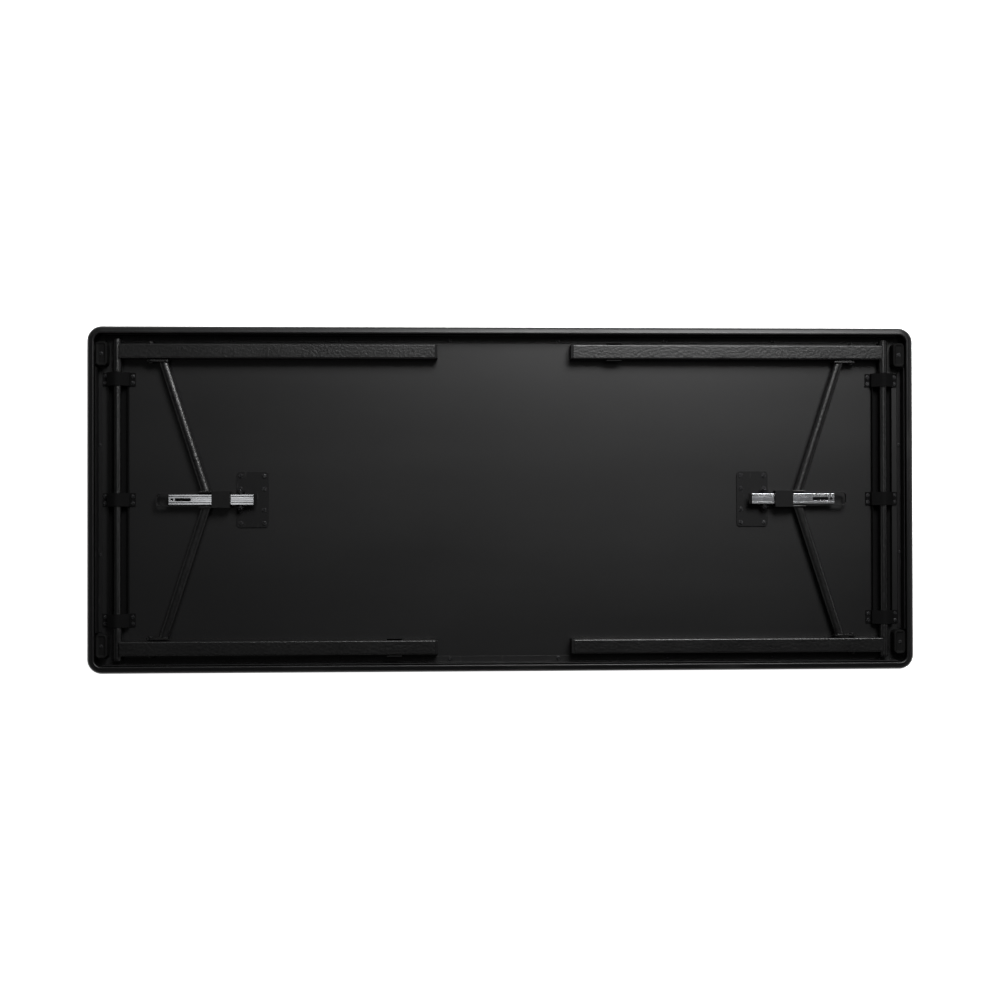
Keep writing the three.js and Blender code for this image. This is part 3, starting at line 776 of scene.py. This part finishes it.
def axle_bar():
    """The right axle: a round bar with rounded ends."""
    low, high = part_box("axle_right")
    bar = bar_across(low, high, (high.x - low.x) / 2)
    choose(bar, "FACE", lambda centre, normal: abs(normal.y) > 0.9)
    bpy.ops.mesh.bevel(offset=AXLE_CHAMFER, segments=3, affect="EDGES")
    bpy.ops.object.mode_set(mode="OBJECT")
    return bar


def sleeve_tube():
    """A short tube with rounded rims, bored for the axle."""
    low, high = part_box("hinge_sleeve_right_back")
    tube = bar_across(low, high, (high.x - low.x) / 2)
    choose(tube, "FACE", lambda centre, normal: abs(normal.y) > 0.9)
    bpy.ops.mesh.inset(thickness=SLEEVE_WALL, use_individual=True)
    bpy.ops.mesh.bridge_edge_loops()
    bpy.ops.object.mode_set(mode="OBJECT")
    break_edges(tube, SLEEVE_EDGE, 3, 50)
    return tube


axle = axle_bar()
sleeve = sleeve_tube()
for end, x in ENDS.items():
    node = f"axle_{end}"
    fit_out(settle(twin(axle, x, 1), 30), f"{node}_bar", coat, f"{end}_legs", [node])
    for side, y in SIDES.items():
        node = f"hinge_sleeve_{end}_{side}"
        copy = settle(twin(sleeve, x, y), 30)
        fit_out(copy, f"{node}_tube", coat, f"{end}_legs", [node])
bpy.data.objects.remove(axle)
bpy.data.objects.remove(sleeve)


# ---- Leg welds -----------------------------------------------------------------------------------
# Short runs of rippled steel bead under the coating, above and below, where each leg tube meets its
# sleeve.

LEG_BEAD = 1.5 * MM
LEG_BEAD_FROM_AXLE = 8.4 * MM
LEG_BEAD_SUNK = 1.2 * MM
LEG_BEAD_END = 3 * MM
DROP_STEP = 0.9
DROP_SWELL = 0.12
DROP_BEAT = 2.3
MELT = 0.28


def bead(start, finish, radius):
    """A row of overlapping drops from one point to another, melted together."""
    start = Vector(start)
    finish = Vector(finish)
    steps = max(2, round((finish - start).length / (radius * DROP_STEP)))
    drops = []
    for step in range(steps + 1):
        swell = 1 + DROP_SWELL * math.sin(step * DROP_BEAT)
        bpy.ops.mesh.primitive_uv_sphere_add(
            segments=10, ring_count=6, radius=radius * swell, location=start.lerp(finish, step / steps))
        drops.append(bpy.context.object)
    hold(drops[0])
    for drop in drops:
        drop.select_set(True)
    bpy.ops.object.join()
    row = drops[0]
    modify(row, "REMESH", mode="VOXEL", voxel_size=radius * MELT)
    bpy.ops.object.transform_apply(location=True, rotation=True, scale=True)
    return row


axle_low, axle_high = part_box("axle_right")
axle_middle = (axle_low + axle_high) / 2
leg_low, leg_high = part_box("leg_right_back")
sleeve_low, sleeve_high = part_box("hinge_sleeve_right_back")
weld_x = axle_middle.x - LEG_BEAD_FROM_AXLE
weld_rise = (sleeve_high.z - sleeve_low.z) / 2 - LEG_BEAD_SUNK
for face, lean in (("top", 1), ("under", -1)):
    weld_z = axle_middle.z + lean * weld_rise
    weld_start = (weld_x, leg_low.y + LEG_BEAD_END, weld_z)
    weld_finish = (weld_x, leg_high.y - LEG_BEAD_END, weld_z)
    weld = bead(weld_start, weld_finish, LEG_BEAD)
    for end, x in ENDS.items():
        for side, y in SIDES.items():
            name = f"leg_weld_{end}_{side}_{face}"
            fit_out(settle(twin(weld, x, y), 180), name, coat, f"{end}_legs")
    bpy.data.objects.remove(weld)


# ---- Foot caps -----------------------------------------------------------------------------------
# Moulded black plastic, pressed into the tube, with a ribbed sole that stands on the floor. The plug
# behind the sole is hollow.

SOLE_THICKNESS = 6 * MM
SOLE_BORDER = 2.4 * MM
PLUG_WALL = 2 * MM
SOLE_GROOVE = 1.4 * MM
GROOVE_PITCH = 7 * MM
GROOVE_REACH = 0.7
CAP_EDGE = 0.7 * MM


def mould_plastic():
    """Black plastic with the grain of its mould, polished here and there."""
    material, place, shader = finish_of("moulded_plastic", specular=0.13)
    grain = place.noise(850, 2)
    mark = place.noise(50, 4)
    feed(material, shader,
         color=mark.tint((0.0025, 0.0025, 0.0026), (0.006, 0.006, 0.0063)),
         roughness=0.50 + 0.18 * mark,
         normal=grain.bump(0.4, 0.0002))
    return material


def foot_cap():
    """The right, back cap: a grooved sole with a hollow plug behind it."""
    low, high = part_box("foot_cap_right_back")
    middle = (low + high) / 2
    half_width = (high.y - low.y) / 2
    sole_end = low.x + SOLE_THICKNESS
    plug = high.x - sole_end
    cap = block((low.x, middle.y - half_width, middle.z - half_width),
                (sole_end, middle.y + half_width, middle.z + half_width))
    choose(cap, "FACE", lambda centre, normal: normal.x > 0.9)
    bpy.ops.mesh.inset(thickness=SOLE_BORDER)
    bpy.ops.mesh.extrude_region_move(TRANSFORM_OT_translate={"value": (plug, 0, 0)})
    bpy.ops.mesh.inset(thickness=PLUG_WALL)
    bpy.ops.mesh.extrude_region_move(TRANSFORM_OT_translate={"value": (-plug, 0, 0)})
    choose(cap, "EDGE", lambda centre, along: abs(along.x) > 0.9 and centre.x < sole_end)
    bpy.ops.mesh.bevel(offset=LEG_CORNER, segments=6, affect="EDGES")
    for groove in (-1, 0, 1):
        z = middle.z + groove * GROOVE_PITCH
        reach = GROOVE_REACH * half_width
        cut_away(cap, block((low.x - SOLE_GROOVE, middle.y - reach, z - SOLE_GROOVE),
                            (low.x + SOLE_GROOVE, middle.y + reach, z + SOLE_GROOVE)))
    break_edges(cap, CAP_EDGE, 3, 50)
    return cap


plastic = mould_plastic()
cap = foot_cap()
for end, x in ENDS.items():
    for side, y in SIDES.items():
        node = f"foot_cap_{end}_{side}"
        fit_out(settle(twin(cap, x, y), 35), f"{node}_moulding", plastic, f"{end}_legs", [node])
bpy.data.objects.remove(cap)


# ---- Leg clips -----------------------------------------------------------------------------------
# A springy channel moulded in black plastic, fixed to the board. It grips one folded leg at each end,
# on opposite sides of the table.

CLIP_EDGE = 0.4 * MM

for end in ENDS:
    node = f"leg_clip_{end}"
    fit_out(from_frame(node, CLIP_EDGE), f"{node}_moulding", plastic, "table_top", [node])


# ---- Brace base plates ---------------------------------------------------------------------------
# Pressed steel, painted dull black: a plate with two ears turned up out of it for the rail's pin. Eight
# screws round its edge hold it to the board.

PLATE_EDGE = 0.5 * MM
PLATE_SHEET = 3 * MM
PLATE_SCREW_INSET = 9 * MM
PLATE_SCREW_ROWS = (-1, -0.45, 0.45, 1)
PLATE_SCREW_SCALE = 1.05

for end in ENDS:
    node = f"brace_base_{end}"
    low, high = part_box(node)
    plate = from_frame(node, PLATE_EDGE)
    fit_out(plate, f"{node}_pressed", dull_painted, "table_top", [node])
    plate_top = low.z + PLATE_SHEET
    middle = (low + high) / 2
    reach_x = (high.x - low.x) / 2 - PLATE_SCREW_INSET
    reach_y = (high.y - low.y) / 2 - PLATE_SCREW_INSET
    places = [
        (middle.x + column * reach_x, middle.y + row * reach_y, plate_top)
        for column in (-1, 1)
        for row in PLATE_SCREW_ROWS
    ]
    screws(f"plate_screws_{end}", places, "table_top", PLATE_SCREW_SCALE)


# ---- Rail pins -----------------------------------------------------------------------------------
# Steel rivets through the ears of the base plates, black zinc plated, with a dome set at each end. The
# rails tilt on them.

PIN_DOME = 0.9 * MM


def zinc_plate(name, dark, light):
    """Plated steel, brushed lengthwise and faintly stained."""
    material, place, shader = finish_of(name, metallic=1.0)
    brushed = place.noise(240, 4, stretch=(0.06, 1, 1))
    stain = place.noise(45, 5)
    spangle = place.node("ShaderNodeTexVoronoi", None, {"Vector": place, "Scale": 260})
    feed(material, shader,
         color=(0.65 * stain + 0.35 * spangle).tint(dark, light),
         roughness=0.13 + 0.10 * brushed + 0.06 * stain,
         normal=brushed.bump(0.25, 0.0001))
    return material


black_zinc = zinc_plate("black_zinc", (0.03, 0.03, 0.032), (0.10, 0.10, 0.105))
for end in ENDS:
    node = f"rail_pin_{end}"
    pin = from_frame(node, PIN_DOME, segments=4, edge_angle=50)
    fit_out(pin, f"{node}_rivet", black_zinc, "table_top", [node])


# ---- Brace rails ---------------------------------------------------------------------------------
# A channel of folded sheet, bright zinc plated, with its web up and pressed with lengthwise grooves. Two
# lock slots and a stop hole are punched through the web, and the sides are cut back at the tail.

RAIL_SHEET = 2 * MM
RAIL_FOLD = 0.9 * MM
RAIL_LINES = (-7.6, -6.6, -5.6, -2.6, -1.6, 1.6, 2.6, 5.6, 6.6, 7.6)
MIDDLE_GROOVE = 2 * MM
SIDE_GROOVE = 6.6 * MM
GROOVE_DEPTH = 1.1 * MM
TAIL_CUT = 9 * MM
TAIL_WEB = 4 * MM
SLOT_HALF = 3.5 * MM
SLOT_CORNER = 1.5 * MM
SLOT_CUT = 5 * MM
TOOTH_FROM_BAIL = 3 * MM
TOOTH_ROOM = 4.5 * MM
LOCK_RUN = 26 * MM
STOP_RADIUS = 3 * MM
STOP_CORNER = 0.97
STOP_FROM_END = 7 * MM
PUNCHED_EDGE = 0.25 * MM


def slot_cutter(x_from, x_to, half, corner, top):
    """A round-cornered block that cuts a slot down through the rail's web."""
    cutter = block((x_from, -half, top - SLOT_CUT), (x_to, half, top + MM))
    choose(cutter, "EDGE", lambda centre, along: abs(along.z) > 0.9)
    bpy.ops.mesh.bevel(offset=corner, segments=6, affect="EDGES")
    bpy.ops.object.mode_set(mode="OBJECT")
    return cutter


def slotted_rail():
    """The right rail: folded and grooved, cut back at the tail, and pierced."""
    low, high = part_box("brace_rail_right")
    top = high.z - MM / 10
    rail = block(low, high)
    choose(rail, "FACE", lambda centre, normal: normal.z < -0.9 or abs(normal.x) > 0.9)
    bpy.ops.mesh.delete(type="FACE")
    choose(rail, "EDGE", lambda centre, along: centre.z > top and abs(along.x) > 0.9)
    bpy.ops.mesh.bevel(offset=RAIL_FOLD, segments=6, affect="EDGES")
    # The web is cut into strips, and the inner ones are pressed down as grooves.
    for line in RAIL_LINES:
        bpy.ops.mesh.select_all(action="SELECT")
        bpy.ops.mesh.bisect(plane_co=(0, line * MM, 0), plane_no=(0, 1, 0))
    choose(rail, "VERT", lambda co: co.z > top and abs(co.y) < MIDDLE_GROOVE)
    bpy.ops.transform.translate(value=(0, 0, -GROOVE_DEPTH))
    choose(rail, "VERT", lambda co: co.z > top and abs(abs(co.y) - SIDE_GROOVE) < MM / 2)
    bpy.ops.transform.translate(value=(0, 0, -GROOVE_DEPTH / 2))
    # The tail slants up from behind the pin to just under the web.
    pin_low, pin_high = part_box("rail_pin_right")
    cut_from = Vector(((pin_low.x + pin_high.x) / 2 - TAIL_CUT, 0, low.z))
    slant = Vector((low.x, 0, high.z - TAIL_WEB)) - cut_from
    bpy.ops.mesh.select_all(action="SELECT")
    bpy.ops.mesh.bisect(plane_co=cut_from, plane_no=(slant.z, 0, -slant.x), clear_inner=True)
    bpy.ops.object.mode_set(mode="OBJECT")
    modify(rail, "SOLIDIFY", thickness=RAIL_SHEET, offset=-1, use_even_offset=True)
    # The lock tooth has a slot where it stands with the legs folded, and a longer one with them out.
    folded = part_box("release_bail_right")[0].x + TOOTH_FROM_BAIL
    slide = next(joint for joint in frame["joints"] if joint["name"] == "right_brace_slide")
    locked = folded + slide["range_m"][1]
    for tooth, run in ((folded, 0), (locked, LOCK_RUN)):
        slot_end = tooth + TOOTH_ROOM + run
        cut_away(rail, slot_cutter(tooth - TOOTH_ROOM, slot_end, SLOT_HALF, SLOT_CORNER, high.z))
    stop = high.x - STOP_FROM_END
    hole_end = stop + STOP_RADIUS
    corner = STOP_CORNER * STOP_RADIUS
    cut_away(rail, slot_cutter(stop - STOP_RADIUS, hole_end, STOP_RADIUS, corner, high.z))
    break_edges(rail, PUNCHED_EDGE, 2, 60)
    return rail


bright_zinc = zinc_plate("bright_zinc", (0.50, 0.51, 0.53), (0.80, 0.81, 0.83))
rail = slotted_rail()
for end, x in ENDS.items():
    node = f"brace_rail_{end}"
    fit_out(settle(twin(rail, x, 1), 20), f"{node}_channel", bright_zinc, f"{end}_rail", [node])
bpy.data.objects.remove(rail)


# ---- Rail end plugs ------------------------------------------------------------------------------
# A moulded black plug pushed into each rail's tail. Its head is as high as the web is left there, and
# its tongue runs in under the web. Its black is in part painted shade: it stands for the dark hollow
# at the rail's tail.

PLUG_HEAD = 7 * MM
PLUG_TONGUE = 6 * MM
PLUG_HEIGHT = 4.6 * MM
PLUG_DROP = 0.2 * MM
PLUG_SHOULDER = 1 * MM
PLUG_STEP = 1.3 * MM
PLUG_GAP = 0.1 * MM
PLUG_EDGE = 0.9 * MM


def tail_shade_plug():
    """The right rail's plug: a rounded head with a tongue stepped down behind it."""
    low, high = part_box("brace_rail_right")
    tail = low.x - PLUG_GAP
    plug = block((tail - PLUG_HEAD, low.y, high.z - PLUG_HEIGHT),
                 (tail, high.y, high.z - PLUG_DROP))
    choose(plug, "FACE", lambda centre, normal: normal.x > 0.9)
    bpy.ops.mesh.inset(thickness=PLUG_SHOULDER)
    bpy.ops.mesh.extrude_region_move(TRANSFORM_OT_translate={"value": (PLUG_TONGUE, 0, -PLUG_STEP)})
    bpy.ops.object.mode_set(mode="OBJECT")
    break_edges(plug, PLUG_EDGE, 3, 60)
    return plug


# Painted shade in part: the black plug darkens the hollow at each rail's tail.
plug = tail_shade_plug()
for end, x in ENDS.items():
    fit_out(settle(twin(plug, x, 1), 35), f"rail_tail_shade_plug_{end}", rubber, f"{end}_rail")
bpy.data.objects.remove(plug)


# ---- Brace arms ----------------------------------------------------------------------------------
# Two oval steel tubes with a flattened tab at the outer end of each. They make the V, and have the
# legs' coarse black coating.

ARM_WIDTH = 20 * MM
ARM_HEIGHT = 14 * MM
TAB_LENGTH = 50 * MM
TAB_SHEET = 4 * MM
TAB_CORNER = 3 * MM
ARM_EDGE = 0.6 * MM
ARM_FROM_TAB_END = 12 * MM


def arm_tube():
    """The right, back arm: a tube that slants from the bracket to its tab, and the tab."""
    low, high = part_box("brace_arm_right_back")
    bracket_low, bracket_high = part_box("apex_bracket_right")
    start = Vector(((bracket_low.x + bracket_high.x) / 2, low.y, (low.z + high.z) / 2))
    tab_x = high.x - TAB_LENGTH
    finish = Vector((tab_x + ARM_FROM_TAB_END, high.y - TAB_SHEET, start.z))
    run = finish - start
    bpy.ops.mesh.primitive_cylinder_add(
        vertices=40, radius=0.5, depth=run.y, rotation=(math.pi / 2, 0, 0),
        location=(start.x, (start.y + finish.y) / 2, start.z))
    tube = bpy.context.object
    hold(tube)
    bpy.ops.object.transform_apply(location=False, rotation=True, scale=False)
    tube.scale = (ARM_WIDTH * math.hypot(1, run.x / run.y), 1, ARM_HEIGHT)
    bpy.ops.object.transform_apply(location=True, rotation=True, scale=True)
    # The tube is sheared, so that its outer end lies flat against the tab.
    choose(tube, "VERT", lambda co: co.y > finish.y - MM)
    bpy.ops.transform.translate(value=(run.x, 0, 0))
    tab = block((tab_x, finish.y, low.z), (high.x, high.y, high.z))
    choose(tab, "EDGE", lambda centre, along: abs(along.y) > 0.9 and centre.x > high.x - MM)
    bpy.ops.mesh.bevel(offset=(high.z - low.z) / 2 - 0.01 * MM, segments=12, affect="EDGES")
    choose(tab, "EDGE", lambda centre, along: abs(along.y) > 0.9 and centre.x < tab_x + MM)
    bpy.ops.mesh.bevel(offset=TAB_CORNER, segments=5, affect="EDGES")
    bpy.ops.object.mode_set(mode="OBJECT")
    modify(tube, "BOOLEAN", object=tab, operation="UNION", solver="EXACT")
    bpy.data.objects.remove(tab)
    break_edges(tube, ARM_EDGE, 2, 50)
    return tube


arm = arm_tube()
for end, x in ENDS.items():
    for side, y in SIDES.items():
        node = f"brace_arm_{end}_{side}"
        fit_out(settle(twin(arm, x, y), 40), f"{node}_tube", coat, f"{end}_brace", [node])
bpy.data.objects.remove(arm)


# ---- Apex brackets, their welds and collars ------------------------------------------------------
# A folded steel bracket under each rail, which the two arms are welded to above and below. Beside it
# a collar of black plastic slides on the rail.

BRACKET_EDGE = 0.6 * MM
COLLAR_EDGE = 1.0 * MM
ARM_BEAD = 1.3 * MM
ARM_BEAD_OUT = 0.6 * MM
ARM_BEAD_END = 4 * MM

for end in ENDS:
    node = f"apex_bracket_{end}"
    bracket = from_frame(node, BRACKET_EDGE)
    fit_out(bracket, f"{node}_folded", coat, f"{end}_brace", [node])
    node = f"brace_collar_{end}"
    collar = from_frame(node, COLLAR_EDGE, segments=3)
    fit_out(collar, f"{node}_moulding", plastic, f"{end}_brace", [node])
low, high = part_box("apex_bracket_right")
arm_low, arm_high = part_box("brace_arm_right_back")
for face, lean in (("top", 1), ("under", -1)):
    weld_y = high.y + ARM_BEAD_OUT
    weld_z = (arm_low.z + arm_high.z) / 2 + lean * ARM_HEIGHT / 2
    weld_start = (low.x + ARM_BEAD_END, weld_y, weld_z)
    weld_finish = (high.x - ARM_BEAD_END, weld_y, weld_z)
    weld = bead(weld_start, weld_finish, ARM_BEAD)
    for end, x in ENDS.items():
        for side, y in SIDES.items():
            name = f"arm_weld_{end}_{side}_{face}"
            fit_out(settle(twin(weld, x, y), 180), name, coat, f"{end}_brace")
    bpy.data.objects.remove(weld)


# ---- Brace pivot bolts and nuts ------------------------------------------------------------------
# Shouldered steel bolts, painted black, hold the arms' tabs beside the legs and let them turn. Their
# nuts are on the legs' outer faces.

BOLT_EDGE = 0.5 * MM
NUT_EDGE = 0.7 * MM

for end in ENDS:
    for side in SIDES:
        node = f"pivot_bolt_{end}_{side}"
        bolt = from_frame(node, BOLT_EDGE, segments=3, edge_angle=50)
        fit_out(bolt, f"{node}_turned", painted, f"{end}_brace", [node])
        node = f"pivot_nut_{end}_{side}"
        nut = from_frame(node, NUT_EDGE, segments=3, edge_angle=50)
        fit_out(nut, f"{node}_forged", painted, f"{end}_legs", [node])


# ---- Release bails -------------------------------------------------------------------------------
# Flat steel bar, bent into a loop and painted black. It rocks on the collar, and pulling it lifts its
# lock tooth out of the rail's slot.

BAIL_EDGE = 0.6 * MM

for end in ENDS:
    node = f"release_bail_{end}"
    fit_out(from_frame(node, BAIL_EDGE), f"{node}_bent", painted, f"{end}_bail", [node])


# ---- Last steps ----------------------------------------------------------------------------------
# The screw that the others were copied from is taken away.

bpy.data.objects.remove(screw_pattern)
